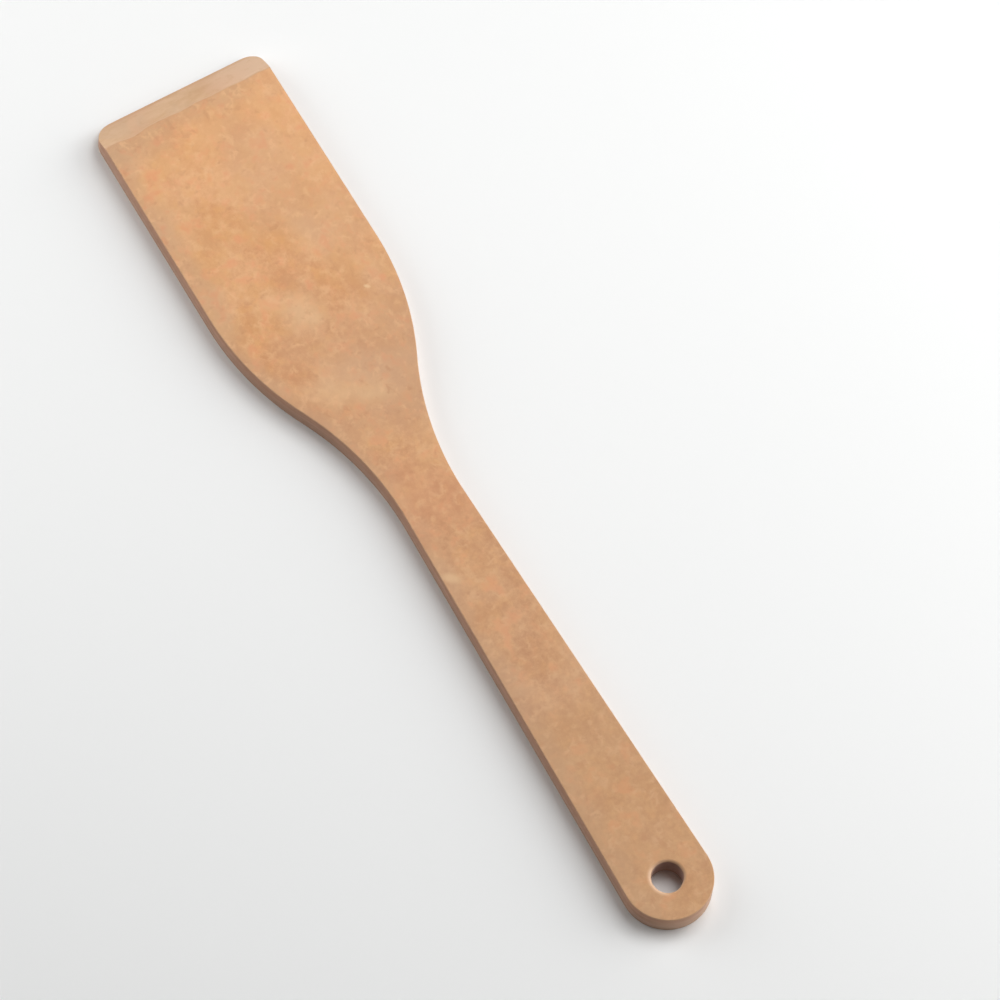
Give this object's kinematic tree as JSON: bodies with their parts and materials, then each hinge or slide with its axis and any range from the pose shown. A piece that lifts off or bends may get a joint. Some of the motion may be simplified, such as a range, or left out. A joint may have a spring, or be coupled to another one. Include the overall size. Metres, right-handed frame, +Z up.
{
  "type": "spatula turner",
  "caption": "Flat kitchen turner of pressed resin-bonded paper sheets: square bevelled blade, rounded shoulders, slim handle widening to a round end with a hanging hole.",
  "frame": {"origin": "under the middle of the overall length, on the surface that the turner lies on", "axes": "+X along the turner from the handle's round end to the blade's tip, +Z up out of the face with the bevel, Y across the blade"},
  "size_m": [0.32, 0.0602, 0.008],
  "materials": {
    "outer_sheet": "matte",
    "core_sheet": "matte"
  },
  "bodies": {
    "root": {"back_sheet": "outer_sheet", "core_sheet_01": "core_sheet", "core_sheet_02": "core_sheet", "core_sheet_03": "core_sheet", "core_sheet_04": "core_sheet", "core_sheet_05": "core_sheet", "core_sheet_06": "core_sheet", "core_sheet_07": "core_sheet", "core_sheet_08": "core_sheet", "core_sheet_09": "core_sheet", "core_sheet_10": "core_sheet", "core_sheet_11": "core_sheet", "core_sheet_12": "core_sheet", "core_sheet_13": "core_sheet", "core_sheet_14": "core_sheet", "core_sheet_15": "core_sheet", "core_sheet_16": "core_sheet", "core_sheet_17": "core_sheet", "core_sheet_18": "core_sheet", "face_sheet": "outer_sheet"}
  },
  "joints": []
}
